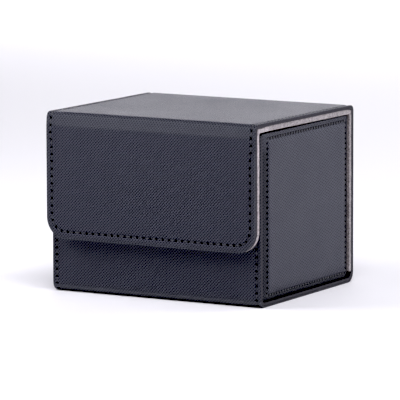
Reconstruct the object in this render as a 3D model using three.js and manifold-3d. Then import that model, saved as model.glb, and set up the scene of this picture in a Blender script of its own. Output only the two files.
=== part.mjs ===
// A side-loading card deck box in embossed leatherette, in millimetres, +Z up.
// One long wrap of leatherette on stiff board forms the front, base, back, lid and front flap.
// Two side panels stand inside the wrap. The lid turns on the fold along the back's top edge, and
// the flap turns on the fold along the lid's front edge and is held shut by hidden magnets.
// The origin is at the bottom centre of the whole box, with the front facing -Y.
import * as THREE from "three";
import { mergeVertices } from "three/addons/utils/BufferGeometryUtils.js";
import Module from "manifold-3d";

const wasm = await Module();
wasm.setup();

// Outside of the closed box.
const WIDTH = 108;
const HEIGHT = 82;
const WRAP_DEPTH = 88.6; // from the lower front to the back
const FLAP_STANDOFF = 5; // the flap's face in front of the lower front
const FLAP_BOTTOM = 25;
const FLAP_CORNER = 9.5;

// Outer radii of the wrap's folds.
const FRONT_BOTTOM_FOLD = 2.8;
const BACK_BOTTOM_FOLD = 5;
const BACK_TOP_FOLD = 2.6;
const FRONT_TOP_FOLD = 5.5;

// Layers, from the outside in. The glue line also keeps neighbouring pieces apart.
const GLUE = 0.1;
const SKIN = 0.8;
const BOARD = 1.1;
const LINING = 1.9; // felt under the flap and lid and down the back
const THIN_LINING = 1; // suede inside the front, base and sides

// Clearances that show.
const RIM_GAP = 0.6; // between the lid's lining and the walls' rims
const PANEL_GROOVE = 0.8; // round each side panel's skin
const PANEL_RECESS = 0.6; // side panel's face behind the wrap's cut edge

// Stitching: a thread lies in a shallow groove in the skin.
const SEAM_MARGIN = 2.2;
const PANEL_SEAM_MARGIN = 2.2;
const THREAD = { width: 0.6, from: 0.1, to: 0.5 };
const GROOVE = { width: 0.9, depth: 0.6 };

const MAGNET = { radius: 6, thickness: 0.9, offset: 31, height: 36 };
const MAGNET_CLEARANCE = 0.15;

const ARC_STEPS = 8;
const CIRCLE_STEPS = 32;
const OVERSHOOT = 1; // how far a cutter runs past a face

// Planes and depths worked out from the sizes above.
const halfWidth = WIDTH / 2;
const backY = (WRAP_DEPTH + FLAP_STANDOFF) / 2;
const flapY = -backY;
const frontY = flapY + FLAP_STANDOFF;
const layer = {
  skin: [0, SKIN],
  board: [SKIN + GLUE, SKIN + GLUE + BOARD],
  lining: [SKIN + BOARD + 2 * GLUE, SKIN + BOARD + 2 * GLUE + LINING],
  thinLining: [SKIN + BOARD + 2 * GLUE, SKIN + BOARD + 2 * GLUE + THIN_LINING],
  thread: [THREAD.from, THREAD.to],
  groove: [-OVERSHOOT, GROOVE.depth],
};
const wallDepth = layer.lining[1];
const rimZ = HEIGHT - wallDepth - RIM_GAP;
const foldZ = HEIGHT - wallDepth; // where the back fold starts
const foldY = backY - wallDepth; // where the back fold ends
const lidFrontY = flapY + FRONT_TOP_FOLD;
const flapTopZ = HEIGHT - FRONT_TOP_FOLD;
const seamX = halfWidth - SEAM_MARGIN;

const FINISHES = {
  leatherette: { color: 0x33343d, roughness: 0.62, metalness: 0 },
  greyboard: { color: 0x55545b, roughness: 0.95, metalness: 0 },
  felt: { color: 0xa29ba3, roughness: 1, metalness: 0 },
  thread: { color: 0x2b2b31, roughness: 0.7, metalness: 0 },
  magnet: { color: 0xb9bcc0, roughness: 0.3, metalness: 1 },
};

// A line of right-angled corners, moved sideways to its left by an inset, with round corners drawn
// as arcs. A corner keeps its centre, so its radius shrinks by the inset until it is sharp.
function insetLine(corners, inset, closed = false) {
  const count = corners.length;
  const leftOf = (from, to) => {
    const direction = new THREE.Vector2().subVectors(to.at, from.at).normalize();
    return new THREE.Vector2(-direction.y, direction.x);
  };
  const points = [];
  corners.forEach((corner, i) => {
    const hasIn = closed || i > 0;
    const hasOut = closed || i < count - 1;
    const normalIn = hasIn && leftOf(corners[(i + count - 1) % count], corner);
    const normalOut = hasOut && leftOf(corner, corners[(i + 1) % count]);
    if (!hasIn || !hasOut) {
      points.push(corner.at.clone().addScaledVector(normalIn || normalOut, inset));
      return;
    }
    const radius = Math.max(corner.radius - inset, 0);
    const inwards = normalIn.clone().add(normalOut);
    const centre = corner.at.clone().addScaledVector(inwards, inset + radius);
    if (radius === 0) {
      points.push(centre);
      return;
    }
    for (let step = 0; step <= ARC_STEPS; step++) {
      const angle = (step / ARC_STEPS) * (Math.PI / 2);
      points.push(
        centre
          .clone()
          .addScaledVector(normalIn, -radius * Math.cos(angle))
          .addScaledVector(normalOut, -radius * Math.sin(angle)),
      );
    }
  });
  return points;
}

const corner = (across, up, radius = 0) => ({ at: new THREE.Vector2(across, up), radius });

// The strip of a layer that lies between two depths under an open outer line.
function strip(outerLine, [from, to]) {
  return new THREE.Shape([...insetLine(outerLine, from), ...insetLine(outerLine, to).reverse()]);
}

// The band between two insets of a closed outline.
function band(outline, [from, to]) {
  const shape = new THREE.Shape(insetLine(outline, from, true));
  shape.holes.push(new THREE.Path(insetLine(outline, to, true)));
  return shape;
}

// Extrudes a shape drawn in the YZ plane along X, between two values of x.
function alongX(shape, fromX, toX) {
  const options = { depth: toX - fromX, bevelEnabled: false, curveSegments: CIRCLE_STEPS };
  const turned = new THREE.Matrix4().makeBasis(
    new THREE.Vector3(0, 1, 0),
    new THREE.Vector3(0, 0, 1),
    new THREE.Vector3(1, 0, 0),
  );
  return new THREE.ExtrudeGeometry(shape, options).applyMatrix4(turned).translate(fromX, 0, 0);
}

// Extrudes a shape drawn in the XZ plane along Y, between two values of y.
function alongY(shape, fromY, toY) {
  const options = { depth: toY - fromY, bevelEnabled: false, curveSegments: CIRCLE_STEPS };
  const turned = new THREE.Matrix4().makeBasis(
    new THREE.Vector3(1, 0, 0),
    new THREE.Vector3(0, 0, 1),
    new THREE.Vector3(0, -1, 0),
  );
  return new THREE.ExtrudeGeometry(shape, options).applyMatrix4(turned).translate(0, toY, 0);
}

function toSolid(geometry) {
  const bare = new THREE.BufferGeometry();
  const flat = geometry.index ? geometry.toNonIndexed() : geometry;
  bare.setAttribute("position", flat.getAttribute("position"));
  const merged = mergeVertices(bare, 1e-4);
  return new wasm.Manifold(
    new wasm.Mesh({
      numProp: 3,
      vertProperties: merged.attributes.position.array,
      triVerts: new Uint32Array(merged.index.array),
    }),
  );
}

// The geometry with each cutter taken away from it.
function cut(geometry, cutters) {
  const solid = cutters.reduce((left, cutter) => left.subtract(toSolid(cutter)), toSolid(geometry));
  const mesh = solid.getMesh();
  const made = new THREE.BufferGeometry();
  made.setAttribute("position", new THREE.BufferAttribute(mesh.vertProperties, 3));
  made.setIndex(new THREE.BufferAttribute(mesh.triVerts, 1));
  made.computeVertexNormals();
  return made;
}

function addPiece(group, name, finish, geometry) {
  const mesh = new THREE.Mesh(geometry, new THREE.MeshStandardMaterial(FINISHES[finish]));
  mesh.name = name;
  group.add(mesh);
}

const rectangle = (left, bottom, right, top) =>
  new THREE.Shape([
    new THREE.Vector2(left, bottom),
    new THREE.Vector2(right, bottom),
    new THREE.Vector2(right, top),
    new THREE.Vector2(left, top),
  ]);

// Grooves and threads that follow an outer line near each side edge of the wrap.
const sideSeams = (outerLine, x) => ({
  groove: alongX(strip(outerLine, layer.groove), x - GROOVE.width / 2, x + GROOVE.width / 2),
  thread: alongX(strip(outerLine, layer.thread), x - THREAD.width / 2, x + THREAD.width / 2),
});

// A wall's board with a round pocket for each magnet.
function magnetBoard(outline, fromY, toY) {
  for (const side of [-1, 1]) {
    const pocket = new THREE.Path();
    const radius = MAGNET.radius + MAGNET_CLEARANCE;
    pocket.absarc(side * MAGNET.offset, MAGNET.height, radius, 0, 2 * Math.PI);
    outline.holes.push(pocket);
  }
  return alongY(outline, fromY, toY);
}

// Two disc magnets, centred in the thickness of the board that holds them.
function addMagnets(group, prefix, boardMiddleY) {
  for (const [side, name] of [[-1, "left"], [1, "right"]]) {
    const disc = new THREE.CylinderGeometry(
      MAGNET.radius, MAGNET.radius, MAGNET.thickness, CIRCLE_STEPS,
    );
    addPiece(group, `${prefix}_magnet_${name}`, "magnet", disc);
    const placed = group.children[group.children.length - 1];
    placed.position.set(side * MAGNET.offset, boardMiddleY, MAGNET.height);
  }
}

// The wrap's lower part: one skin up the front, under the base and up the back, on three boards.
function addWrap(tray) {
  const outer = [
    corner(frontY, rimZ),
    corner(frontY, 0, FRONT_BOTTOM_FOLD),
    corner(backY, 0, BACK_BOTTOM_FOLD),
    corner(backY, foldZ - GLUE),
  ];
  const seams = { left: sideSeams(outer, -seamX), right: sideSeams(outer, seamX) };
  const skin = alongX(strip(outer, layer.skin), -halfWidth, halfWidth);
  addPiece(tray, "wrap_skin", "leatherette", cut(skin, [seams.left.groove, seams.right.groove]));
  addPiece(tray, "wrap_seam_left", "thread", seams.left.thread);
  addPiece(tray, "wrap_seam_right", "thread", seams.right.thread);

  const [boardFrom, boardTo] = layer.board;
  const frontOutline = rectangle(-halfWidth, FRONT_BOTTOM_FOLD + GLUE, halfWidth, rimZ);
  const frontBoard = magnetBoard(frontOutline, frontY + boardFrom, frontY + boardTo);
  addPiece(tray, "front_board", "greyboard", frontBoard);
  addMagnets(tray, "front", frontY + (boardFrom + boardTo) / 2);

  const baseBoard = strip(
    [
      corner(frontY, FRONT_BOTTOM_FOLD),
      corner(frontY, 0, FRONT_BOTTOM_FOLD),
      corner(backY, 0, BACK_BOTTOM_FOLD),
      corner(backY, BACK_BOTTOM_FOLD),
    ],
    layer.board,
  );
  addPiece(tray, "base_board", "greyboard", alongX(baseBoard, -halfWidth, halfWidth));

  const backWall = [corner(backY, BACK_BOTTOM_FOLD + GLUE), corner(backY, foldZ - GLUE)];
  const backBoard = alongX(strip(backWall, layer.board), -halfWidth, halfWidth);
  addPiece(tray, "back_board", "greyboard", backBoard);
  const backLining = alongX(strip(backWall, layer.lining), -halfWidth, halfWidth);
  addPiece(tray, "back_lining", "felt", backLining);
}

// The side panel's three layers, from its recessed face inwards.
const panelFace = halfWidth - PANEL_RECESS;
const cardHalfWidth = panelFace - layer.thinLining[1];

// The linings of the front and base lie between the two side panels.
function addTrayLinings(tray) {
  const halfSpan = cardHalfWidth - GLUE;
  const turnUp = layer.thinLining[1] + GLUE;
  const baseLine = [
    corner(frontY, turnUp),
    corner(frontY, 0, FRONT_BOTTOM_FOLD),
    corner(backY, 0, BACK_BOTTOM_FOLD),
    corner(backY, BACK_BOTTOM_FOLD),
  ];
  const frontLine = [corner(frontY, rimZ), corner(frontY, turnUp + GLUE)];
  const baseLining = alongX(strip(baseLine, layer.thinLining), -halfSpan, halfSpan);
  const frontLining = alongX(strip(frontLine, layer.thinLining), -halfSpan, halfSpan);
  addPiece(tray, "base_lining", "felt", baseLining);
  addPiece(tray, "front_lining", "felt", frontLining);
}

// A side panel: stitched skin outside, board in the middle and lining inside.
function addSidePanel(tray, side, name) {
  const wrapInside = layer.board[1];
  const bodyOutline = [
    corner(frontY + wrapInside + GLUE, wrapInside + GLUE, 1),
    corner(foldY - GLUE, wrapInside + GLUE, 2.5),
    corner(foldY - GLUE, rimZ),
    corner(frontY + wrapInside + GLUE, rimZ),
  ];
  const skinOutline = [
    corner(frontY + wrapInside + PANEL_GROOVE, wrapInside + PANEL_GROOVE, 1.5),
    corner(foldY - PANEL_GROOVE, wrapInside + PANEL_GROOVE, 3),
    corner(foldY - PANEL_GROOVE, rimZ, 1),
    corner(frontY + wrapInside + PANEL_GROOVE, rimZ, 1),
  ];
  const between = (shape, [from, to]) => {
    const xs = [side * (panelFace - from), side * (panelFace - to)];
    return alongX(shape, Math.min(...xs), Math.max(...xs));
  };
  const sheet = (outline) => new THREE.Shape(insetLine(outline, 0, true));
  const ring = (width) =>
    band(skinOutline, [PANEL_SEAM_MARGIN - width / 2, PANEL_SEAM_MARGIN + width / 2]);
  const groove = between(ring(GROOVE.width), layer.groove);
  const skin = cut(between(sheet(skinOutline), layer.skin), [groove]);
  addPiece(tray, `${name}_side_skin`, "leatherette", skin);
  addPiece(tray, `${name}_side_seam`, "thread", between(ring(THREAD.width), layer.thread));
  addPiece(tray, `${name}_side_board`, "greyboard", between(sheet(bodyOutline), layer.board));
  addPiece(tray, `${name}_side_lining`, "felt", between(sheet(bodyOutline), layer.thinLining));
}

// The bendable layers where the wrap turns over an edge: skin and soft core, then any lining.
function addFold(group, prefix, outerLine, layers) {
  for (const [name, finish, depths] of layers) {
    const fold = alongX(strip(outerLine, depths), -halfWidth, halfWidth);
    addPiece(group, `${prefix}_fold_${name}`, finish, fold);
  }
}

// The lid: three flat layers with a seam along each side edge. Its lining runs back over the top
// of the back wall's lining, so that the joint between them opens with the lid.
function addLid(lid) {
  const frontEnd = corner(lidFrontY + GLUE, HEIGHT);
  const outer = [corner(foldY - GLUE, HEIGHT), frontEnd];
  const liningLine = [corner(backY - BACK_TOP_FOLD, HEIGHT), frontEnd];
  const seams = { left: sideSeams(outer, -seamX), right: sideSeams(outer, seamX) };
  const sheet = (line, depths) => alongX(strip(line, depths), -halfWidth, halfWidth);
  const skin = cut(sheet(outer, layer.skin), [seams.left.groove, seams.right.groove]);
  addPiece(lid, "lid_skin", "leatherette", skin);
  addPiece(lid, "lid_seam_left", "thread", seams.left.thread);
  addPiece(lid, "lid_seam_right", "thread", seams.right.thread);
  addPiece(lid, "lid_board", "greyboard", sheet(outer, layer.board));
  addPiece(lid, "lid_lining", "felt", sheet(liningLine, layer.lining));
}

// The flap: three layers with round lower corners, and a seam that runs down, across and up.
function addFlap(flap) {
  const top = flapTopZ - GLUE;
  const edge = [
    corner(-halfWidth, top),
    corner(-halfWidth, FLAP_BOTTOM, FLAP_CORNER),
    corner(halfWidth, FLAP_BOTTOM, FLAP_CORNER),
    corner(halfWidth, top),
  ];
  const outline = () => new THREE.Shape(insetLine(edge, 0));
  const sheet = ([from, to]) => alongY(outline(), flapY + from, flapY + to);
  const seam = (width, [from, to]) =>
    alongY(
      strip(edge, [SEAM_MARGIN - width / 2, SEAM_MARGIN + width / 2]),
      flapY + from,
      flapY + to,
    );
  const skin = cut(sheet(layer.skin), [seam(GROOVE.width, layer.groove)]);
  addPiece(flap, "flap_skin", "leatherette", skin);
  addPiece(flap, "flap_seam", "thread", seam(THREAD.width, layer.thread));
  const [boardFrom, boardTo] = layer.board;
  const board = magnetBoard(outline(), flapY + boardFrom, flapY + boardTo);
  addPiece(flap, "flap_board", "greyboard", board);
  addMagnets(flap, "flap", flapY + (boardFrom + boardTo) / 2);
  addPiece(flap, "flap_lining", "felt", sheet(layer.lining));
}

function cardDeckBox() {
  const box = new THREE.Group();
  const tray = new THREE.Group();
  const lid = new THREE.Group();
  const flap = new THREE.Group();
  addWrap(tray);
  addTrayLinings(tray);
  addSidePanel(tray, -1, "left");
  addSidePanel(tray, 1, "right");
  const backFold = [
    corner(backY, foldZ),
    corner(backY, HEIGHT, BACK_TOP_FOLD),
    corner(foldY, HEIGHT),
  ];
  const frontFold = [
    corner(lidFrontY, HEIGHT),
    corner(flapY, HEIGHT, FRONT_TOP_FOLD),
    corner(flapY, flapTopZ),
  ];
  const bending = [["skin", "leatherette", layer.skin], ["core", "greyboard", layer.board]];
  const lined = [...bending, ["lining", "felt", layer.lining]];
  addFold(tray, "back", backFold, bending);
  addFold(lid, "front", frontFold, lined);
  addLid(lid);
  addFlap(flap);
  lid.add(flap);
  box.add(tray, lid);
  return box;
}

export default cardDeckBox();
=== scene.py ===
"""The looks of a leatherette card deck box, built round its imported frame.

Builders work in millimetres and make_mesh turns them to metres. A sheet is drawn flat, across (u)
and along (v), and a placing function lays it on the box at a depth (t) under the outer surface.
"""
import math
import random

import bmesh
import bpy
import numpy as np
from mathutils import Matrix, Vector, noise


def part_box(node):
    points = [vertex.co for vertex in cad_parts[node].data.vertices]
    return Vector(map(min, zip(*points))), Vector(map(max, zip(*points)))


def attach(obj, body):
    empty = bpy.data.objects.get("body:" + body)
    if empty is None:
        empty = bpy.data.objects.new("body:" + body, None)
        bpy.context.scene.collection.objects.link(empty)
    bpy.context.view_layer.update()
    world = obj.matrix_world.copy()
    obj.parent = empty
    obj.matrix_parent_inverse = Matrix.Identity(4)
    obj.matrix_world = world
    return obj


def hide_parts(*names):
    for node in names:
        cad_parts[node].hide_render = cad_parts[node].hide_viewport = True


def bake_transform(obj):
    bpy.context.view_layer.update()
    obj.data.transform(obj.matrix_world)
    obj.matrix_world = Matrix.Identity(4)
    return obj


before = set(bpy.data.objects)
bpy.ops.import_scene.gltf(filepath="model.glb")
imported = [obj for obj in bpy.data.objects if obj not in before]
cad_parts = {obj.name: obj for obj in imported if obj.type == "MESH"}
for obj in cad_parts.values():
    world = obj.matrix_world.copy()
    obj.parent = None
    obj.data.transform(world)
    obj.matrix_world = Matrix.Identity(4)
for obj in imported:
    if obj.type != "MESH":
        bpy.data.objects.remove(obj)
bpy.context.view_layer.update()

MM = 0.001


def box_mm(node):
    """A CAD node's lowest and highest corners, in millimetres."""
    return [np.array(corner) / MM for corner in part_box(node)]


# ---------------------------------------------------------------- sizes, from the frame where it has them
wrap_low, wrap_high = box_mm("wrap_skin")
lid_low, lid_high = box_mm("lid_skin")
flap_low, flap_high = box_mm("flap_skin")
HALF_WIDTH = wrap_high[0]
FRONT_Y, BACK_Y, FLAP_Y = wrap_low[1], wrap_high[1], flap_low[1]
TOP_Z, FLAP_BOTTOM = lid_high[2], flap_low[2]
RIM_Z = box_mm("front_board")[1][2]
BACK_WALL_TOP = box_mm("back_lining")[1][2]

SKIN_DEPTH = 0.8
BOARD_DEPTHS = (0.9, 2.0)
FELT_DEPTHS = (2.1, 4.0)
THIN_FELT_DEPTHS = (2.1, 3.1)

FRONT_BOTTOM_FOLD = 4.2
BACK_BOTTOM_FOLD = 5.0
BACK_TOP_FOLD = 2.6
FRONT_TOP_FOLD = 5.5
FLAP_CORNER = 9.5
FOLD_OVERLAP = 7.0  # how far a bending strip runs onto the stiff panel on each side of its fold

SIDE_MARGIN = 2.2  # stitches in from the wrap's side edges
FLAP_SIDE_MARGIN = 2.7
FLAP_BOTTOM_MARGIN = 3.3
PANEL_REACH = (0.4, 0.35)  # the panel's leatherette comes this much closer to the back and the lid
PANEL_MARGINS = {"front": 4.6, "bottom": 2.2, "back": 2.1, "top": 2.5}
# Tones of the leatherette, from -1 for darkest to 1 for lightest: the lighter margin outside the
# wrap's stitches, painted shade on the side panels' margins, a painted highlight along the flap's
# rim, painted light from the floor along the front wall's lower fold, and a painted highlight over
# the lid's front fold.
WRAP_MARGIN_WIDTH = 1.9
WRAP_MARGIN_TONE, PANEL_MARGIN_SHADE = 0.5, -0.45
RIM_HIGHLIGHT_WIDTH, RIM_HIGHLIGHT_TONE = 0.5, 0.8
FOLD_BOUNCE_LIGHT, BOUNCE_LIGHT_WIDTH = 0.85, 1.7
FOLD_HIGHLIGHT_TONE, FOLD_HIGHLIGHT_FADE = 0.62, 1.2
TONE_FADE = 0.5  # a margin's tone fades out over this width
PANEL_TOP_FADE, PANEL_TOP_SHARE = 6, 0.35  # the painted shade on the panel's margin is lighter towards the lid
FIRST_STITCH = 1.7  # from the front wall's rim
BEVEL_STEPS = (0, 0.25, 0.6)  # lines across a bevel, as shares of its width
LAYER_STEP, LAYER_CORNER_STEP = 0.8, 0.5
BOARD_INSET = 0.08  # the board ends this far inside the leatherette's edge
WRAP_PITCH = 3.3
PANEL_PITCH = 2.4
THREAD_RADIUS = 0.27
LID_THREAD_RISE = 0.3  # the lid's stitches stand this much higher than the others
GROOVE_DEPTH, GROOVE_WIDTH = 0.3, 0.75
HOLE_DEPTH, HOLE_RADIUS, HOLE_STRETCH = 0.5, 0.42, 0.2

random.seed(7)


# ---------------------------------------------------------------- the wrap's outer line
class Line:
    """Right-angled corners in the YZ plane joined by straight runs and round corners.

    at() gives the point and the inward normal at a distance along it."""

    def __init__(self, corners):
        points = [np.array(c[:2], float) for c in corners]
        radii = [c[2] if len(c) > 2 else 0.0 for c in corners]
        self.runs = []  # (start distance, length, is_arc, origin, direction or first normal, normal)
        self.corner_starts = []
        self.corner_ends = []
        distance = 0.0
        for i in range(len(points) - 1):
            way = points[i + 1] - points[i]
            length = np.linalg.norm(way)
            way = way / length
            normal = np.array((-way[1], way[0]))
            start = points[i] + way * radii[i]
            straight = length - radii[i] - radii[i + 1]
            self.runs.append((distance, straight, False, start, way, normal))
            distance += straight
            self.corner_starts.append(distance)
            if i + 2 < len(points):
                after = points[i + 2] - points[i + 1]
                after = after / np.linalg.norm(after)
                after_normal = np.array((-after[1], after[0]))
                radius = radii[i + 1]
                centre = points[i + 1] + (normal + after_normal) * radius
                arc = radius * math.pi / 2
                self.runs.append((distance, arc, True, centre, normal, after_normal))
                distance += arc
                self.corner_ends.append(distance)
        self.length = distance

    def at(self, s):
        s = np.asarray(s, float)
        y, z = np.zeros_like(s), np.zeros_like(s)
        ny, nz = np.zeros_like(s), np.zeros_like(s)
        for k, (start, length, is_arc, origin, first, second) in enumerate(self.runs):
            low = -1e9 if k == 0 else start
            high = 1e9 if k == len(self.runs) - 1 else start + length
            here = (s >= low) & (s <= high)
            if is_arc:
                angle = (s[here] - start) / length * math.pi / 2
                radius = length / (math.pi / 2)
                cos, sin = np.cos(angle), np.sin(angle)
                ny[here] = first[0] * cos + second[0] * sin
                nz[here] = first[1] * cos + second[1] * sin
                y[here] = origin[0] - radius * ny[here]
                z[here] = origin[1] - radius * nz[here]
            else:
                y[here] = origin[0] + first[0] * (s[here] - start)
                z[here] = origin[1] + first[1] * (s[here] - start)
                ny[here], nz[here] = second
        return y, z, ny, nz


WRAP = Line([
    (FRONT_Y, RIM_Z),
    (FRONT_Y, 0, FRONT_BOTTOM_FOLD),
    (BACK_Y, 0, BACK_BOTTOM_FOLD),
    (BACK_Y, TOP_Z, BACK_TOP_FOLD),
    (FLAP_Y, TOP_Z, FRONT_TOP_FOLD),
    (FLAP_Y, FLAP_BOTTOM),
])
BACK_FOLD = (WRAP.corner_starts[2], WRAP.corner_ends[2])
FRONT_FOLD = (WRAP.corner_starts[3], WRAP.corner_ends[3])


# How square the lid's front fold is (2 is a round arc): the leatherette turns a soft corner, and the
# felt under it is pressed into a nearly sharp one.
SKIN_SQUARENESS, FELT_SQUARENESS = 5.0, 9.0
LEAN_ENDS, LEAN_MIDDLE = 0.6, 2.3  # how far the top of the flap leans back, above a faint crease
LEAN_HEIGHT = 6.4
LEAN_GROWTH = 14  # the lean grows over this width from each end
FELT_LEAN = 0.6  # the felt's inner face leans by this share of it
LID_LIFT = 0.75  # the closed lid stands this far up at its front edge
LID_THINNING = 0.4  # the lid's board is pressed this much thinner
THINNING_FADE = 6  # the thinning grows over this length from each of the lid's folds
FELT_GROWTH = 0.4  # the lid's felt moves up inside by this share of that


def shape_front_fold(u, y, z, v, t):
    """Turns the lid's round front fold into a fuller corner over a slightly leaning stretch."""
    here = (v > FRONT_FOLD[0]) & (v < FRONT_FOLD[1])
    centre_y, centre_z = FLAP_Y + FRONT_TOP_FOLD, TOP_Z - FRONT_TOP_FOLD
    ahead, above = centre_y - y[here], z[here] - centre_z
    reach = np.hypot(ahead, above)
    cos, sin = np.clip(ahead / reach, 0, 1), np.clip(above / reach, 0, 1)
    power = np.interp(t[here], (SKIN_DEPTH, FELT_DEPTHS[0]), (SKIN_SQUARENESS, FELT_SQUARENESS))
    stretch = (cos**power + sin**power) ** (-1 / power)
    y[here] = centre_y - ahead * stretch
    z[here] = centre_z + above * stretch
    height = np.clip((z - TOP_Z + LEAN_HEIGHT) / LEAN_HEIGHT, 0, 1)
    nearness = np.clip((centre_y - y) / FRONT_TOP_FOLD, 0, 1)
    share = np.interp(t, FELT_DEPTHS, (1.0, FELT_LEAN))
    inwards = np.clip((HALF_WIDTH - np.abs(u)) / LEAN_GROWTH, 0, 1)
    lean = LEAN_ENDS + (LEAN_MIDDLE - LEAN_ENDS) * inwards
    y += lean * height * nearness * share


def place_on_wrap(u, v, t):
    """A sheet's point on the wrap: u across the box, v along its outer line, t inwards."""
    y, z, ny, nz = WRAP.at(v)
    after_back_fold = np.clip((v - BACK_FOLD[1]) / THINNING_FADE, 0, 1)
    before_front_fold = np.clip((FRONT_FOLD[0] - v) / THINNING_FADE, 0, 1)
    lid_run = after_back_fold * before_front_fold
    t = t - LID_THINNING * lid_run * np.interp(t, (SKIN_DEPTH, *FELT_DEPTHS), (0, 1, FELT_GROWTH))
    y, z = y + ny * t, z + nz * t
    shape_front_fold(u, y, z, v, t)
    along = np.clip((BACK_Y - y) / (BACK_Y - FLAP_Y), 0, 1)
    up = np.clip((z - FLAP_BOTTOM) / (TOP_Z - FLAP_BOTTOM), 0, 1)
    z = z + np.where(v > BACK_FOLD[1], LID_LIFT * along * up, 0)
    return np.stack([u, y, z], axis=-1)


def place_on_side(side):
    """Places a sheet on a side panel: u along the depth, v up, t inwards from its face."""
    face = side * box_mm("right_side_skin")[1][0]

    def place(u, v, t):
        return np.stack([face - side * t, u, v], axis=-1)

    return place


# ---------------------------------------------------------------- meshes
def make_mesh(name, points, faces, material_index=None, uv=None, attributes=None):
    """A smooth mesh object with sharp edges kept, from points in millimetres."""
    mesh = bpy.data.meshes.new(name)
    mesh.from_pydata([tuple(p) for p in np.asarray(points) * MM], [], faces)
    if material_index is not None:
        mesh.polygons.foreach_set("material_index", material_index)
    if uv is not None:
        layer = mesh.uv_layers.new(name="grain")
        loops = np.zeros(len(mesh.loops), np.int32)
        mesh.loops.foreach_get("vertex_index", loops)
        layer.data.foreach_set("uv", np.asarray(uv, np.float32)[loops].ravel())
    for key, values in (attributes or {}).items():
        data = mesh.attributes.new(key, "FLOAT", "POINT").data
        data.foreach_set("value", np.asarray(values, np.float32))
    work = bmesh.new()
    work.from_mesh(mesh)
    bmesh.ops.recalc_face_normals(work, faces=work.faces)
    for face in work.faces:
        face.smooth = True
    for edge in work.edges:
        edge.smooth = edge.calc_face_angle(math.pi) < math.radians(40)
    work.to_mesh(mesh)
    work.free()
    made = bpy.data.objects.new(name, mesh)
    bpy.context.scene.collection.objects.link(made)
    return made


def lines_between(low, high, step):
    """Evenly spaced values from low to high, about a step apart."""
    count = max(1, round((high - low) / step))
    return np.linspace(low, high, count + 1)


def merged(*lists):
    """Sorted values of several lists, without those that nearly repeat."""
    values = np.sort(np.concatenate([np.atleast_1d(x) for x in lists]))
    keep = [values[0]]
    for value in values[1:]:
        if value - keep[-1] > 0.03:
            keep.append(value)
    return np.array(keep)


def edge_lines(low, high, fine_width, fine_step, coarse_step, bevel):
    """Lines across a sheet: close together at its two bevelled edges, wide apart between."""
    rim = np.array(BEVEL_STEPS) * bevel
    near = lines_between(bevel, fine_width, fine_step)
    left = np.concatenate([rim, near])
    middle = lines_between(low + fine_width, high - fine_width, coarse_step)
    return merged(low + left, middle, high - left)


def round_corner(U, V, centre, toward, radius):
    """Pulls the square corner zone of a grid onto a quarter disc of that radius."""
    a = (U - centre[0]) * toward[0] / radius
    b = (V - centre[1]) * toward[1] / radius
    zone = (a > 0) & (b > 0)
    longest = np.maximum(a, b)
    reach = np.hypot(a, b)
    shrink = np.where(zone, longest / np.maximum(reach, 1e-9), 1.0)
    U = np.where(zone, centre[0] + (U - centre[0]) * shrink, U)
    V = np.where(zone, centre[1] + (V - centre[1]) * shrink, V)
    return U, V


def bevel_depth(q, radius):
    """Depth of a round edge at a distance q in from it."""
    inside = np.clip(radius - q, 0, radius)
    return radius - np.sqrt(radius**2 - inside**2)


class Seam:
    """A row of stitches on a sheet: dense points of its path and the holes along it."""

    def __init__(self, path, pitch, closed=False):
        path = np.asarray(path, float)
        if closed:
            path = np.vstack([path, path[:1]])
        steps = np.linalg.norm(np.diff(path, axis=0), axis=1)
        self.path = path
        self.along = np.concatenate([[0], np.cumsum(steps)])
        self.closed = closed
        self.count = max(1, round(self.along[-1] / pitch))
        self.pitch = self.along[-1] / self.count

    def point(self, distance):
        u = np.interp(distance, self.along, self.path[:, 0])
        v = np.interp(distance, self.along, self.path[:, 1])
        return np.stack([u, v], axis=-1)

    def holes(self):
        """Points along each needle hole, which the thread pulls into a short slot."""
        last = self.count if self.closed else self.count + 1
        middles = np.arange(last)[:, None] * self.pitch
        slots = middles + np.array([-1, 0, 1]) * HOLE_STRETCH
        return self.point(np.clip(slots, 0, self.along[-1]).ravel())

    def nearest(self, U, V):
        """Distance of each grid point from the seam, and from its nearest hole."""
        reach = 3.0
        low, high = self.path.min(0) - reach, self.path.max(0) + reach
        near = (U > low[0]) & (U < high[0]) & (V > low[1]) & (V < high[1])
        points = np.stack([U[near], V[near]], axis=-1)
        dense = self.point(lines_between(0, self.along[-1], 0.25))
        holes = self.holes()
        to_line = np.full(U.shape, 99.0)
        to_hole = np.full(U.shape, 99.0)
        found = [np.zeros(0)], [np.zeros(0)]
        for part in np.array_split(points, max(1, len(points) // 4000)):
            for kind, targets in enumerate((dense, holes)):
                gap = np.linalg.norm(part[:, None, :] - targets[None], axis=2)
                found[kind].append(gap.min(axis=1))
        to_line[near] = np.concatenate(found[0])
        to_hole[near] = np.concatenate(found[1])
        return to_line, to_hole


def distance_in(U, V, us, vs, free_ends):
    """How far each point of a grid lies in from the sheet's sides and its free ends."""
    q = np.minimum(U - us[0], us[-1] - U)
    if free_ends[0]:
        q = np.minimum(q, V - vs[0])
    if free_ends[1]:
        q = np.minimum(q, vs[-1] - V)
    return q


def round_corners(U, V, us, vs, radii):
    """Rounds a grid's corners, going round from the low-u low-v corner."""
    ways = ((1, 1), (-1, 1), (-1, -1), (1, -1))
    for radius, way in zip(radii, ways):
        if radius:
            edge = (us[0] if way[0] > 0 else us[-1], vs[0] if way[1] > 0 else vs[-1])
            centre = (edge[0] + way[0] * radius, edge[1] + way[1] * radius)
            U, V = round_corner(U, V, centre, (-way[0], -way[1]), radius)
    return U, V


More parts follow.
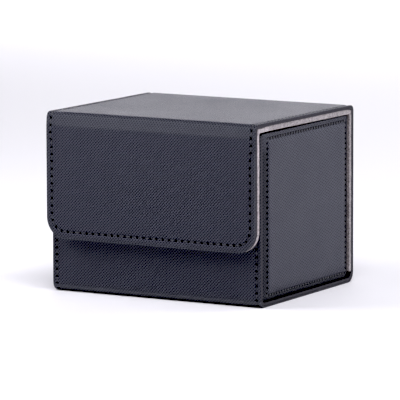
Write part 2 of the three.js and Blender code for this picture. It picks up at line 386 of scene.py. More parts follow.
def press_seams(U, V, depth, seams):
    """Sinks each seam's groove and needle holes, and gives how far a point is in a hole."""
    hole = np.zeros_like(U)
    for seam in seams:
        to_line, to_hole = seam.nearest(U, V)
        depth = depth + GROOVE_DEPTH * np.exp(-((to_line / GROOVE_WIDTH) ** 2))
        pit = np.exp(-((to_hole / HOLE_RADIUS) ** 2))
        depth = depth + HOLE_DEPTH * pit
        hole = np.maximum(hole, pit)
    return depth, hole


RAGGED_SCALE, RAGGED_PLACE = 1.7, 3.7  # waves per millimetre, and which slice of the noise


def ragged_wave(U, V):
    """Uneven waves for the edge of a cut felt."""
    points = zip(U.ravel(), V.ravel())
    wave = [noise.noise(Vector((a * RAGGED_SCALE, b * RAGGED_SCALE, RAGGED_PLACE))) for a, b in points]
    return np.array(wave).reshape(U.shape)


def build_sheet(name, us, vs, place, bottom, materials, bevel=0.3, free_ends=(True, True),
                corner_radii=(0, 0, 0, 0), seams=(), relief=None, ragged=0.0,
                grain_way=1, tone=None):
    """A closed sheet between its shaped outer face and an even depth under it.

    corner_radii go round from the low-u low-v corner. materials are the outer face's, the cut
    edge's and the inner face's. relief and tone are functions of u, v and the distance in from the
    edge, and grain_way turns the grain's stronger diagonal over."""
    U, V = np.meshgrid(us, vs)
    low_u, high_u = us[0], us[-1]
    q = distance_in(U, V, us, vs, free_ends)
    U, V = round_corners(U, V, us, vs, corner_radii)
    depth, hole = press_seams(U, V, bevel_depth(q, bevel), seams)
    if relief is not None:
        depth = depth + relief(U, V, q)
    if ragged:
        side = np.sign(U - (low_u + high_u) / 2)
        U = U + np.where(q < bevel, ragged_wave(U, V) * ragged * side, 0)
    rows, columns = U.shape
    index = np.arange(rows * columns).reshape(rows, columns)
    outer = place(U.ravel(), V.ravel(), depth.ravel())
    faces = [
        (index[i, j], index[i, j + 1], index[i + 1, j + 1], index[i + 1, j])
        for i in range(rows - 1)
        for j in range(columns - 1)
    ]
    kinds = [0] * len(faces)
    loop = np.concatenate([
        index[0, :], index[1:, -1], index[-1, -2::-1], index[-2:0:-1, 0]
    ])
    turns = (low_u + LEAN_GROWTH, high_u - LEAN_GROWTH)
    stops = sorted({0, columns - 1, *(int(np.abs(us - u).argmin()) for u in turns)})
    between = index[1:-1, stops[1:-1]].ravel()
    chosen = np.concatenate([loop, between])
    under = {v: rows * columns + k for k, v in enumerate(chosen)}
    inner = place(U.ravel()[chosen], V.ravel()[chosen], np.full(len(chosen), float(bottom)))
    for k, v in enumerate(loop):
        w = loop[(k + 1) % len(loop)]
        faces.append((v, under[v], under[w], w))
        kinds.append(1)
    for i in range(rows - 1):
        for a, b in zip(stops, stops[1:]):
            near = index[0, a:b + 1] if i == 0 else index[i, [a, b]]
            far = index[-1, a:b + 1] if i == rows - 2 else index[i + 1, [a, b]]
            faces.append([under[v] for v in near] + [under[v] for v in far[::-1]])
            kinds.append(2)
    flat = np.stack([U.ravel(), grain_way * V.ravel()], axis=-1)
    uv = np.vstack([flat, flat[chosen]])
    shade = np.zeros(U.shape) if tone is None else tone(U, V, q)
    edge = np.zeros(len(chosen))
    attributes = {
        "hole": np.concatenate([hole.ravel(), edge]),
        "tone": np.concatenate([shade.ravel(), edge]),
    }
    made = make_mesh(name, np.vstack([outer, inner]), faces, kinds, uv, attributes)
    for material in materials:
        made.data.materials.append(material)
    return made


def build_thread(name, seam, place, material, proud=0.0):
    """One thread of two twisted plies, seen as a row of stitches that dive into their holes."""
    sides, steps = 10, 12
    gap = 0.1  # of a pitch, from a hole's middle to where the thread comes up
    hole_depth, climb, unevenness = 0.75 - proud, 0.4, 0.02
    half_way = 0.05  # how far before and behind a point its direction is taken
    points, faces, uv = [], [], []
    for k in range(seam.count):
        base = len(points)
        for i in range(steps + 1):
            share = i / steps
            distance = (k + gap + (1 - 2 * gap) * share) * seam.pitch
            here = seam.point(distance)
            ahead = seam.point(min(distance + half_way, seam.along[-1]))
            behind = seam.point(max(distance - half_way, 0))
            way = (ahead - behind) / np.linalg.norm(ahead - behind)
            across = np.array((-way[1], way[0]))
            rise = math.sin(math.pi * share) ** 0.45
            middle = hole_depth - climb * rise + random.uniform(-unevenness, unevenness)
            thin = 0.6 + 0.4 * rise
            for j in range(sides):
                angle = 2 * math.pi * j / sides
                ply = 1 + 0.12 * math.cos(2 * angle - 9 * share)
                radius = THREAD_RADIUS * thin * ply
                place_at = here + across * radius * math.cos(angle)
                points.append((*place_at, middle - radius * math.sin(angle)))
                uv.append((distance, j / sides))
        for i in range(steps):
            for j in range(sides):
                a, b = base + i * sides + j, base + i * sides + (j + 1) % sides
                faces.append((a, b, b + sides, a + sides))
        faces.append(tuple(range(base, base + sides)))
        faces.append(tuple(range(base + steps * sides, base + (steps + 1) * sides)))
    points = np.array(points)
    made = make_mesh(name, place(points[:, 0], points[:, 1], points[:, 2]), faces, uv=uv)
    made.data.materials.append(material)
    return made


# ---------------------------------------------------------------- materials
class Nodes:
    """A material's node tree with short calls to add and join nodes."""

    def __init__(self, name):
        self.material = bpy.data.materials.new(name)
        self.material.use_nodes = True
        self.tree = self.material.node_tree
        self.shader = self.tree.nodes["Principled BSDF"]

    def set(self, **values):
        for key, value in values.items():
            self.shader.inputs[key.replace("_", " ")].default_value = value

    def add(self, kind, inputs=None, **settings):
        node = self.tree.nodes.new(kind)
        for key, value in settings.items():
            setattr(node, key, value)
        for key, value in (inputs or {}).items():
            if isinstance(value, bpy.types.NodeSocket):
                self.tree.links.new(value, node.inputs[key])
            else:
                node.inputs[key].default_value = value
        return node

    def math(self, operation, a, b=0.0, c=0.0):
        return self.add("ShaderNodeMath", {0: a, 1: b, 2: c}, operation=operation).outputs[0]

    def join(self, output, socket):
        self.tree.links.new(output, self.shader.inputs[socket])

    def noise(self, coordinate, scale, detail=3.0, roughness=0.5):
        node = self.add("ShaderNodeTexNoise", {
            "Vector": coordinate, "Scale": scale, "Detail": detail, "Roughness": roughness,
        })
        return node.outputs["Fac"]

    def remap(self, value, low, high, new_low, new_high):
        return self.add("ShaderNodeMapRange", {
            "Value": value, "From Min": low, "From Max": high, "To Min": new_low, "To Max": new_high,
        }).outputs["Result"]

    def mix(self, factor, a, b):
        node = self.add("ShaderNodeMix", data_type="RGBA")
        self.tree.links.new(factor, node.inputs[0])
        for value, key in ((a, 6), (b, 7)):
            if isinstance(value, bpy.types.NodeSocket):
                self.tree.links.new(value, node.inputs[key])
            else:
                node.inputs[key].default_value = (*value, 1)
        return node.outputs[2]

    def bump(self, height, distance, strength=1.0, normal=None):
        inputs = {"Height": height, "Distance": distance, "Strength": strength}
        if normal is not None:
            inputs["Normal"] = normal
        return self.add("ShaderNodeBump", inputs).outputs["Normal"]


GRAIN_REPEAT = 1.46  # millimetres across and along between the embossed diagonals


def embossed_leatherette():
    """Charcoal coated leatherette with a crossed diagonal grain, needle holes painted near black as
    shade, and painted highlights and shade from its tone.
    """
    n = Nodes("leatherette")
    grain = n.add("ShaderNodeUVMap", uv_map="grain").outputs[0]
    parts = n.add("ShaderNodeSeparateXYZ", {0: grain})
    u, v = parts.outputs[0], parts.outputs[1]
    obj = n.add("ShaderNodeTexCoord").outputs["Object"]
    cloudy = n.noise(obj, 40, 4.0)
    uneven = n.noise(obj, 700, 2.0)
    turn = 2 * math.pi / GRAIN_REPEAT
    wander = n.math("MULTIPLY", n.math("SUBTRACT", uneven, 0.5), 0.9)
    rising = n.math("COSINE", n.math("MULTIPLY_ADD", n.math("ADD", u, v), turn, wander))
    falling = n.math("COSINE", n.math("MULTIPLY_ADD", n.math("SUBTRACT", u, v), turn, wander))
    crossed = n.math("MAXIMUM", rising, n.math("MULTIPLY_ADD", falling, 0.75, -0.1))
    ridges = n.remap(crossed, -1.0, 1.0, 0.0, 1.0)
    fine = n.noise(obj, 9000, 2.0)
    height = n.math("ADD", ridges, n.math("MULTIPLY", fine, 0.2))
    hole = n.add("ShaderNodeAttribute", attribute_name="hole").outputs["Fac"]
    open_hole = n.remap(hole, 0.12, 0.45, 0.0, 1.0)
    n.join(n.bump(height, 0.0003, 1.0), "Normal")
    tint = n.mix(cloudy, (0.004, 0.0043, 0.0062), (0.006, 0.0063, 0.0088))
    # The grain's pits are darker and, below, less shiny than its ridges: partly the grain's own colour,
    # partly painted shade in its hollows.
    tint = n.mix(ridges, tint, (0.05, 0.0523, 0.0745))
    # The tone attribute paints light and shade: positive tones lighten the wrap's margins and add painted
    # highlights and painted floor light, negative tones add painted shade and take shine away.
    tone = n.add("ShaderNodeAttribute", attribute_name="tone").outputs["Fac"]
    tint = n.mix(n.math("MAXIMUM", tone, 0.0), tint, (0.036, 0.038, 0.047))
    tint = n.mix(n.remap(tone, 0.5, 1.0, 0.0, 1.0), tint, (0.09, 0.094, 0.112))
    tint = n.mix(n.math("MAXIMUM", n.math("MULTIPLY", tone, -1.0), 0.0), tint, (0.002, 0.002, 0.003))
    # Needle holes painted near black: painted shade inside the holes, which also lose their shine below.
    n.join(n.mix(open_hole, tint, (0.001, 0.001, 0.0012)), "Base Color")
    rough = n.remap(ridges, 0.0, 1.0, 0.7, 0.43)
    n.join(n.math("MULTIPLY_ADD", n.math("SUBTRACT", cloudy, 0.5), 0.12, rough), "Roughness")
    shine = n.math("MULTIPLY", n.remap(ridges, 0.0, 1.0, 0.0, 1.0), n.math("SUBTRACT", 1.0, open_hole))
    shine_under_painted_shade = n.math("MULTIPLY", shine, n.math("MINIMUM", n.math("ADD", tone, 1.0), 1.0))
    n.join(shine_under_painted_shade, "Specular IOR Level")
    n.set(Specular_Tint=(0.87, 0.88, 1.0, 1.0))
    return n.material


def raw_edge(name, dark, light, scale=2500):
    """The cut edge of coated leatherette and board: matt and fibrous."""
    n = Nodes(name)
    obj = n.add("ShaderNodeTexCoord").outputs["Object"]
    fibres = n.noise(obj, scale, 4.0, 0.7)
    n.join(n.mix(n.remap(fibres, 0.3, 0.7, 0.0, 1.0), dark, light), "Base Color")
    n.join(n.bump(fibres, 0.00018, 0.8), "Normal")
    n.set(Roughness=0.85)
    return n.material


def felt(name, dark, light):
    """Brushed microfibre felt: soft pinkish grey with short fibres."""
    n = Nodes(name)
    obj = n.add("ShaderNodeTexCoord").outputs["Object"]
    fibres = n.noise(obj, 1700, 5.0, 0.8)
    clumps = n.noise(obj, 350, 3.0, 0.6)
    mixed = n.math("ADD", n.math("MULTIPLY", fibres, 0.75), n.math("MULTIPLY", clumps, 0.25))
    n.join(n.mix(n.remap(mixed, 0.42, 0.6, 0.0, 1.0), dark, light), "Base Color")
    n.join(n.bump(mixed, 0.00035, 0.8), "Normal")
    n.set(Roughness=0.95, Sheen_Weight=0.35, Sheen_Roughness=0.5)
    return n.material


def stitching_thread():
    """Dark waxed thread with a fine twist."""
    n = Nodes("stitching_thread")
    grain = n.add("ShaderNodeUVMap", uv_map="grain").outputs[0]
    parts = n.add("ShaderNodeSeparateXYZ", {0: grain})
    turns = n.math("MULTIPLY_ADD", parts.outputs[0], 4.0, n.math("MULTIPLY", parts.outputs[1], 2.0))
    wave = n.math("SINE", n.math("MULTIPLY", turns, 2 * math.pi))
    strands = n.math("MULTIPLY_ADD", wave, 0.5, 0.5)
    n.join(n.mix(strands, (0.012, 0.012, 0.018), (0.055, 0.057, 0.078)), "Base Color")
    n.join(n.bump(strands, 0.00005, 0.7), "Normal")
    n.set(Roughness=0.3, Specular_IOR_Level=0.9)
    return n.material


def nickel():
    """Nickel plating with faint mottling."""
    n = Nodes("nickel")
    obj = n.add("ShaderNodeTexCoord").outputs["Object"]
    mottled = n.noise(obj, 900, 3.0)
    n.join(n.mix(mottled, (0.62, 0.6, 0.57), (0.74, 0.72, 0.69)), "Base Color")
    n.join(n.remap(mottled, 0.3, 0.7, 0.2, 0.34), "Roughness")
    n.set(Metallic=1.0)
    return n.material


LEATHER = embossed_leatherette()
SKIN_EDGE = raw_edge("leatherette_edge", (0.03, 0.03, 0.038), (0.07, 0.068, 0.085))
# Near-black board seen only down the groove round each side panel: painted shade in the groove.
GROOVE_SHADE_BOARD = raw_edge("board_painted_groove_shade", (0.002, 0.002, 0.003), (0.006, 0.006, 0.008), 1800)
BOARD_EDGE = raw_edge("board_edge", (0.03, 0.03, 0.04), (0.075, 0.073, 0.088), 1800)
FELT = felt("felt_lining", (0.13, 0.117, 0.125), (0.43, 0.391, 0.408))
# A paler copy of the felt for the cut edges of the flap and the front fold: painted light, as these edges
# catch more light than the lid's and the back wall's.
FELT_LIT_EDGE = felt("felt_painted_lit_edge", (0.17, 0.153, 0.163), (0.68, 0.62, 0.645))
THREAD = stitching_thread()
NICKEL = nickel()


# ---------------------------------------------------------------- pieces
def finish_piece(piece, replaced=(), body=None, bend=None):
    """Hides the CAD nodes a piece stands for and parents it to the body it moves with; a piece with a
    bend is only baked in place and follows no body.
    """
    if replaced:
        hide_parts(*replaced)
    if bend:
        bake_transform(piece)
    else:
        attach(piece, body)
    return piece


def along_back(z):
    """Distance along the wrap of a height on its back wall."""
    return BACK_FOLD[0] - (TOP_Z - BACK_TOP_FOLD - z)


def along_lid(y):
    """Distance along the wrap of a place on the lid."""
    return BACK_FOLD[1] + (BACK_Y - BACK_TOP_FOLD - y)


# Where the wrap's strips meet, along its outer line.
BACK_FOLD_START = BACK_FOLD[0] - FOLD_OVERLAP
BACK_FOLD_END = BACK_FOLD[1] + FOLD_OVERLAP
FRONT_FOLD_START = FRONT_FOLD[0] - FOLD_OVERLAP
FRONT_FOLD_END = FRONT_FOLD[1] + FOLD_OVERLAP


def metres(*mm):
    return tuple(value * MM for value in mm)


BACK_BEND = 4.5  # how far from the corner the back fold starts to bend
TRAY_TO_LID = ("tray", "lid", metres(0, BACK_Y, TOP_Z - BACK_BEND), metres(0, BACK_Y - BACK_BEND, TOP_Z))
LID_TO_FLAP = ("lid", "flap", metres(0, FLAP_Y + FRONT_TOP_FOLD, TOP_Z),
               metres(0, FLAP_Y, TOP_Z - FRONT_TOP_FOLD))


def straight_seam(u, start, end):
    return Seam([(u, v) for v in lines_between(start, end, 0.5)], WRAP_PITCH)


def seam_lines(start, end):
    """Lines along a strip, close enough together to shape each needle hole."""
    return lines_between(start, end, WRAP_PITCH / 11)


LID_SAG = 0.35


def lid_sag(U, V, q):
    """A slight sag of the lid between its folds and side edges."""
    across = np.clip(1 - (U / (HALF_WIDTH - SIDE_MARGIN)) ** 2, 0, 1)
    lid = np.clip((V - BACK_FOLD_END) / (FRONT_FOLD_START - BACK_FOLD_END), 0, 1)
    return LID_SAG * across * 4 * lid * (1 - lid)


def margin_tone(q):
    return WRAP_MARGIN_TONE * np.clip((WRAP_MARGIN_WIDTH - q) / TONE_FADE, 0, 1)


def fold_highlight_tone(V):
    """A painted highlight in a band from the front fold's corner down to the crease in the flap."""
    corner = (FRONT_FOLD[0] + FRONT_FOLD[1]) / 2
    crease = FRONT_FOLD[1] + LEAN_HEIGHT - FRONT_TOP_FOLD
    rising = np.clip((V - corner) / FOLD_HIGHLIGHT_FADE + 0.5, 0, 1)
    falling = np.clip((crease - V) / FOLD_HIGHLIGHT_FADE + 0.5, 0, 1)
    return FOLD_HIGHLIGHT_TONE * rising * falling


def wrap_tone(U, V, q):
    """Lighter side margins, painted floor light along the lower fold, and a painted highlight over the
    front fold.
    """
    middle = WRAP.corner_starts[0] + FRONT_BOTTOM_FOLD / 2
    bounce_light = FOLD_BOUNCE_LIGHT * np.exp(-(((V - middle) / BOUNCE_LIGHT_WIDTH) ** 2))
    return np.maximum(np.maximum(margin_tone(q), bounce_light), fold_highlight_tone(V))


def flap_tone(U, V, q):
    """A lighter margin, a painted highlight along the rim, and the end of the painted highlight over the
    front fold.
    """
    rim = RIM_HIGHLIGHT_TONE * np.clip(2 - 2 * q / RIM_HIGHLIGHT_WIDTH, 0, 1)
    return np.maximum(np.maximum(margin_tone(q), rim), fold_highlight_tone(V))


def add_wrap_strip(name, start, end, free_ends, seams):
    across = edge_lines(-HALF_WIDTH, HALF_WIDTH, 4.6, 0.3, 3.2, 0.3)
    return build_sheet(
        name, across, seam_lines(start, end), place_on_wrap, SKIN_DEPTH,
        (LEATHER, SKIN_EDGE, SKIN_EDGE), free_ends=free_ends, seams=seams, relief=lid_sag,
        tone=wrap_tone)


def add_wrap_leather():
    """The leatherette from the front wall's rim to the lid's front fold, in four strips."""
    side = HALF_WIDTH - SIDE_MARGIN
    strips = (
        ("wrap_leather", 0, BACK_FOLD_START, (True, False), ("wrap_skin",), "tray", None),
        ("back_fold_leather", BACK_FOLD_START, BACK_FOLD_END, (False, False),
         ("back_fold_skin",), None, TRAY_TO_LID),
        ("lid_leather", BACK_FOLD_END, FRONT_FOLD_START, (False, False), ("lid_skin",), "lid", None),
        ("front_fold_leather", FRONT_FOLD_START, FRONT_FOLD_END, (False, False),
         ("front_fold_skin",), None, LID_TO_FLAP),
    )
    threads = {
        "wrap_leather": ("wrap_seam_left", "wrap_seam_right"),
        "lid_leather": ("lid_seam_left", "lid_seam_right"),
    }
    for name, start, finish, free_ends, replaced, body, bend in strips:
        first = max(start, FIRST_STITCH)
        seams = [straight_seam(u, first, finish) for u in (-side, side)]
        piece = add_wrap_strip(name, start, finish, free_ends, seams)
        finish_piece(piece, replaced, body, bend)
        for seam, hand, node in zip(seams, ("left", "right"), threads.get(name, (None, None))):
            thread = build_thread(
                name.replace("leather", "thread_" + hand), seam, place_on_wrap, THREAD,
                proud=LID_THREAD_RISE if name == "lid_leather" else 0.0)
            finish_piece(thread, (node,) if node else (), body, bend)


def u_path(half, start, bottom, radius):
    """A seam's path down the left, round two corners and up the right, in a sheet's u and v."""
    path = [(-half, v) for v in lines_between(start, bottom - radius, 0.4)]
    turn = np.linspace(0, math.pi / 2, 24)[1:-1]
    path += [(-half + radius * (1 - math.cos(a)), bottom - radius * (1 - math.sin(a))) for a in turn]
    path += [(u, bottom) for u in lines_between(-half + radius, half - radius, 0.4)]
    path += [(half - radius * (1 - math.sin(a)), bottom - radius * (1 - math.cos(a))) for a in turn]
    path += [(half, v) for v in lines_between(start, bottom - radius, 0.4)[::-1]]
    return path


def add_flap_leather():
    """The flap's leatherette, with round lower corners and one seam round three sides."""
    bottom = WRAP.length
    path = u_path(HALF_WIDTH - FLAP_SIDE_MARGIN, FRONT_FOLD_END, bottom - FLAP_BOTTOM_MARGIN,
                  FLAP_CORNER - FLAP_SIDE_MARGIN)
    seam = Seam(path, WRAP_PITCH)
    bevel = 0.3
    rim = np.array([0, 0.25, 0.6, 1.0]) * bevel
    step = WRAP_PITCH / 11
    across = merged(-HALF_WIDTH + rim, lines_between(-HALF_WIDTH + bevel, HALF_WIDTH - bevel, step),
                    HALF_WIDTH - rim)
    down = merged(lines_between(FRONT_FOLD_END, bottom - bevel, step), bottom - rim)
    flap = build_sheet(
        "flap_leather", across, down, place_on_wrap, SKIN_DEPTH, (LEATHER, SKIN_EDGE, SKIN_EDGE),
        free_ends=(False, True), corner_radii=(0, 0, FLAP_CORNER, FLAP_CORNER), seams=[seam],
        tone=flap_tone)
    finish_piece(flap, ("flap_skin",), "flap")
    thread = build_thread("flap_thread", seam, place_on_wrap, THREAD)
    finish_piece(thread, ("flap_seam",), "flap")


def add_layer(name, start, end, depths, free_ends, materials, slot, replaced, body, bend=None,
              half=HALF_WIDTH, corner=0.0, bevel=0.15, ragged=0.0):
    """A board or felt layer of the wrap, with soft cut edges."""
    top, bottom = depths
    across = edge_lines(-half, half, max(corner, 1.5), 0.6, 6.0, bevel)
    along = lines_between(start, end, LAYER_STEP)
    if corner:
        rim = np.array(BEVEL_STEPS) * bevel
        straight = lines_between(start, end - corner, LAYER_STEP)
        round_end = lines_between(end - corner, end - bevel, LAYER_CORNER_STEP)
        along = merged(straight, round_end, end - rim)
    piece = build_sheet(
        name, across, along, place_on_wrap, bottom, materials, bevel=bevel, free_ends=free_ends,
        corner_radii=(0, 0, corner, corner), relief=lambda U, V, q: np.full(U.shape, top), ragged=ragged)
    return finish_piece(piece, replaced, body, bend)


def add_boards():
    """The stiff board and its soft cores at the folds."""
    edge = (BOARD_EDGE, BOARD_EDGE, BOARD_EDGE)
    half = HALF_WIDTH - BOARD_INSET
    add_layer("wrap_board", 0, BACK_FOLD_START, BOARD_DEPTHS, (True, False), edge, "board",
              ("front_board", "base_board", "back_board"), "tray", half=half)
    add_layer("back_fold_board", BACK_FOLD_START, BACK_FOLD_END, BOARD_DEPTHS, (False, False), edge,
              "board", ("back_fold_core",), None, TRAY_TO_LID, half=half)
    add_layer("lid_board_layer", BACK_FOLD_END, FRONT_FOLD_START, BOARD_DEPTHS, (False, False), edge,
              "board", ("lid_board",), "lid", half=half)
    add_layer("front_fold_board", FRONT_FOLD_START, FRONT_FOLD_END, BOARD_DEPTHS, (False, False),
              edge, "board", ("front_fold_core",), None, LID_TO_FLAP, half=half)
    add_layer("flap_board_layer", FRONT_FOLD_END, WRAP.length - BOARD_INSET, BOARD_DEPTHS,
              (False, True), edge,
              "board", ("flap_board",), "flap", half=half, corner=FLAP_CORNER)


def add_felts():
    """The light felt under the lid and flap and down the back wall."""
    edge = (FELT, FELT, FELT)
    lit_felt_edges = (FELT, FELT_LIT_EDGE, FELT)
    options = {"half": HALF_WIDTH - 0.05, "bevel": 0.3, "ragged": 0.12}
    back_start = WRAP.corner_ends[1] + 0.1
    add_layer("back_felt", back_start, along_back(BACK_WALL_TOP), FELT_DEPTHS, (True, True), edge,
              "felt_lining", ("back_lining",), "tray", **options)
    lid_start = BACK_FOLD[1]
    add_layer("lid_felt", lid_start, FRONT_FOLD_START, FELT_DEPTHS, (True, False), edge, "felt_lining",
              ("lid_lining",), "lid", **options)
    add_layer("front_fold_felt", FRONT_FOLD_START, FRONT_FOLD_END, FELT_DEPTHS, (False, False),
              lit_felt_edges, "felt_lining", ("front_fold_lining",), None, LID_TO_FLAP, **options)
    add_layer("flap_felt", FRONT_FOLD_END, WRAP.length, FELT_DEPTHS, (False, True), lit_felt_edges,
              "felt_lining", ("flap_lining",), "flap", corner=FLAP_CORNER, **options)
    base_half = box_mm("base_lining")[1][0]
    add_layer("base_felt", 0, WRAP.corner_ends[1], THIN_FELT_DEPTHS, (True, True), edge, "felt_lining",
              ("base_lining", "front_lining"), "tray", half=base_half, bevel=0.2)


def rounded_loop(low, high, radii, step=0.4):
    """A closed rectangle's path with round corners, from the low-u low-v corner round."""
    path = []
    corners = ((low[0], low[1]), (high[0], low[1]), (high[0], high[1]), (low[0], high[1]))
    ways = ((1, 1), (-1, 1), (-1, -1), (1, -1))
    for k, ((u, v), way, radius) in enumerate(zip(corners, ways, radii)):
        centre = np.array((u + way[0] * radius, v + way[1] * radius))
        start = math.atan2(-way[1], -way[0]) - math.pi / 4
        for angle in start + np.linspace(0, math.pi / 2, 9):
            path.append(centre + radius * np.array((math.cos(angle), math.sin(angle))))
    dense = []
    for a, b in zip(path, path[1:] + path[:1]):
        count = max(1, round(np.linalg.norm(b - a) / step))
        dense += [a + (b - a) * k / count for k in range(count)]
    return dense


PANEL_SEAM_DEPTH, PANEL_BORDER_FALL, PANEL_RISE = 0.1, 0.4, 0.5
PANEL_BORDER = 1.9


def panel_swell(U, V, q):
    """A side panel's padded look: its border lies low and its middle stands a little proud."""
    rise = np.clip((q - PANEL_BORDER) / 5, 0, 1)
    rise = rise * rise * (3 - 2 * rise)
    border = np.clip(1 - q / PANEL_BORDER, 0, 1)
    return PANEL_SEAM_DEPTH + PANEL_BORDER_FALL * border - PANEL_RISE * rise


def add_side_panel(side, name):
    """A side panel's stitched leatherette, board and felt."""
    place = place_on_side(side)
    low, high = (corner[1:] for corner in box_mm(f"{name}_side_skin"))
    high = high + PANEL_REACH
    radii = (1.5, 3.0, 1.0, 1.0)
    seam_low = low + (PANEL_MARGINS["front"], PANEL_MARGINS["bottom"])
    seam_high = high - (PANEL_MARGINS["back"], PANEL_MARGINS["top"])
    seam = Seam(rounded_loop(seam_low, seam_high, [0.9] * 4), PANEL_PITCH, closed=True)
    bevel = 0.3
    rim = np.array(BEVEL_STEPS) * bevel
    step = PANEL_PITCH / 5

    def lines(a, b):
        return merged(a + rim, lines_between(a + bevel, b - bevel, step), b - rim)

    # Painted shade on the sunken margin outside the panel's stitches, less of it towards the lid.
    def panel_painted_shade(U, V, q):
        outside = np.maximum(
            np.maximum(seam_low[0] - U, U - seam_high[0]), np.maximum(seam_low[1] - V, V - seam_high[1]))
        from_top = np.clip((high[1] - V) / PANEL_TOP_FADE - 0.5, PANEL_TOP_SHARE, 1)
        return PANEL_MARGIN_SHADE * np.clip(outside / TONE_FADE + 0.5, 0, 1) * from_top

    skin = build_sheet(
        f"{name}_panel_leather", lines(low[0], high[0]), lines(low[1], high[1]), place, SKIN_DEPTH,
        (LEATHER, SKIN_EDGE, SKIN_EDGE), bevel=bevel, corner_radii=radii, seams=[seam],
        relief=panel_swell, grain_way=-1, tone=panel_painted_shade)
    finish_piece(skin, (f"{name}_side_skin",), "tray")

    def place_thread(u, v, t):
        return place(u, v, t + PANEL_SEAM_DEPTH)

    thread = build_thread(f"{name}_panel_thread", seam, place_thread, THREAD)
    finish_piece(thread, (f"{name}_side_seam",), "tray")

    def place_facing_in(u, v, t):
        return place(u, v, sum(THIN_FELT_DEPTHS) - t)

    for layer, depths, material, slot, layer_place in (
        ("board", BOARD_DEPTHS, GROOVE_SHADE_BOARD, "board", place),
        ("lining", THIN_FELT_DEPTHS, FELT, "felt_lining", place_facing_in),
    ):
        low, high = (corner[1:] for corner in box_mm(f"{name}_side_{layer}"))
        us = edge_lines(low[0], high[0], 3.0, 0.5, 6.0, 0.15)
        vs = edge_lines(low[1], high[1], 3.0, 0.5, 6.0, 0.15)
        top, bottom = depths
        sheet = build_sheet(
            f"{name}_panel_{layer}", us, vs, layer_place, bottom, (material,) * 3, bevel=0.15,
            corner_radii=(1, 2.5, 0, 0), relief=lambda U, V, q: np.full(U.shape, top))
        finish_piece(sheet, (f"{name}_side_{layer}",), "tray")


def dress_magnets():
    for name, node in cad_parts.items():
        if "magnet" in name:
            node.data.materials.clear()
            node.data.materials.append(NICKEL)


# ---------------------------------------------------------------- camera, floor and light
CAMERA_AZIMUTH, CAMERA_ELEVATION, CAMERA_ROLL = 29.66, 8.08, -0.17
CAMERA_DISTANCE = 1.976
CAMERA_AIM = (-0.00052, -0.00095)  # right and up of the box's middle
CAMERA_LENS, SENSOR_WIDTH = 389.4, 36


def direction(azimuth, elevation):
    """Out from the box, with both angles in degrees and azimuth 0 straight ahead of its front."""
    azimuth, elevation = math.radians(azimuth), math.radians(elevation)
    return Vector((math.sin(azimuth) * math.cos(elevation), -math.cos(azimuth) * math.cos(elevation),
                   math.sin(elevation)))


def add_camera():
    back = direction(CAMERA_AZIMUTH, CAMERA_ELEVATION)
    azimuth = math.radians(CAMERA_AZIMUTH)
    right = Vector((math.cos(azimuth), math.sin(azimuth), 0))
    up = back.cross(right)
    aim = Vector((0, 0, TOP_Z * MM / 2)) + right * CAMERA_AIM[0] + up * CAMERA_AIM[1]
    data = bpy.data.cameras.new("camera")
    data.sensor_width = SENSOR_WIDTH
    data.lens = CAMERA_LENS
    data.clip_start, data.clip_end = 0.01, 100
    camera = bpy.data.objects.new("camera", data)
    turn = Matrix((right, up, back)).transposed().to_4x4()
    camera.matrix_world = (
        Matrix.Translation(aim + back * CAMERA_DISTANCE) @ turn
        @ Matrix.Rotation(math.radians(CAMERA_ROLL), 4, "Z"))
    bpy.context.scene.collection.objects.link(camera)
    bpy.context.scene.camera = camera


def add_floor():
    half = 6.0
    mesh = bpy.data.meshes.new("floor")
    mesh.from_pydata([(-half, -half, 0), (half, -half, 0), (half, half, 0), (-half, half, 0)], [],
                     [(0, 1, 2, 3)])
    floor = bpy.data.objects.new("floor", mesh)
    bpy.context.scene.collection.objects.link(floor)
    n = Nodes("floor_paper")
    n.set(Base_Color=(0.93, 0.93, 0.95, 1), Roughness=0.9)
    mesh.materials.append(n.material)


LAMP_COLOUR = (0.965, 0.95, 1.0)
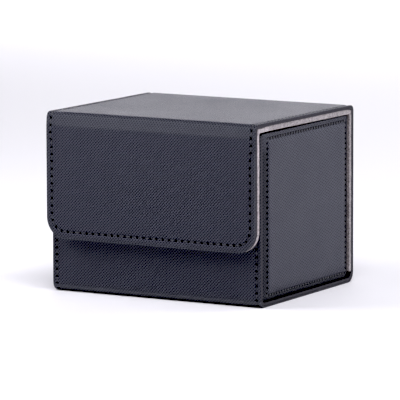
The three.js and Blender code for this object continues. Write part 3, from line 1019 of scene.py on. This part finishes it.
# Softboxes round the box: name, azimuth from straight ahead, elevation, distance, size and watts.
LAMPS = (
    ("overhead", 0, 89, 1.6, 1.0, 3.6),
    ("front_right", 45, 55, 1.6, 1.0, 13.0),
    ("left_key", -55, 35, 0.6, 0.35, 1.62),
    ("right_back", 135, 18, 1.6, 1.0, 11.4),
    ("back_low", 205, 14, 1.6, 1.0, 7.3),
)
BLACK_POINT, WHITE_POINT = (0.03, 0.03, 0.034), 0.72  # the contrast of a product photograph on white


def add_lamp(name, azimuth, elevation, distance, size, watts):
    way = direction(azimuth, elevation)
    data = bpy.data.lights.new(name, "AREA")
    data.shape = "SQUARE"
    data.size = size
    data.color = LAMP_COLOUR
    data.energy = watts
    lamp = bpy.data.objects.new(name, data)
    lamp.location = Vector((0, 0, TOP_Z * MM / 2)) + way * distance
    lamp.rotation_euler = (-way).to_track_quat("-Z", "Y").to_euler()
    bpy.context.scene.collection.objects.link(lamp)


GLOW_HEIGHTS, GLOW_STRENGTHS = (0.05, 0.12), (0.8, 0.02)  # from the backdrop to the ceiling


def add_backdrop_glow():
    """A white backdrop all round the horizon that fades to a dim ceiling."""
    world = bpy.data.worlds.new("studio")
    bpy.context.scene.world = world
    world.use_nodes = True
    tree = world.node_tree
    look = tree.nodes.new("ShaderNodeTexCoord")
    parts = tree.nodes.new("ShaderNodeSeparateXYZ")
    fade = tree.nodes.new("ShaderNodeMapRange")
    fade.inputs["From Min"].default_value, fade.inputs["From Max"].default_value = GLOW_HEIGHTS
    fade.inputs["To Min"].default_value, fade.inputs["To Max"].default_value = GLOW_STRENGTHS
    tree.links.new(look.outputs["Generated"], parts.inputs[0])
    tree.links.new(parts.outputs[2], fade.inputs["Value"])
    background = tree.nodes["Background"]
    background.inputs["Color"].default_value = (1, 1, 1, 1)
    tree.links.new(fade.outputs["Result"], background.inputs["Strength"])


def set_tones():
    view = bpy.context.scene.view_settings
    view.view_transform = "Standard"
    view.use_curve_mapping = True
    view.curve_mapping.black_level = BLACK_POINT
    view.curve_mapping.white_level = (WHITE_POINT,) * 3
    view.curve_mapping.update()


add_camera()
add_floor()
for lamp in LAMPS:
    add_lamp(*lamp)
add_backdrop_glow()
add_wrap_leather()
add_flap_leather()
add_boards()
add_felts()
add_side_panel(-1, "left")
add_side_panel(1, "right")
dress_magnets()
set_tones()
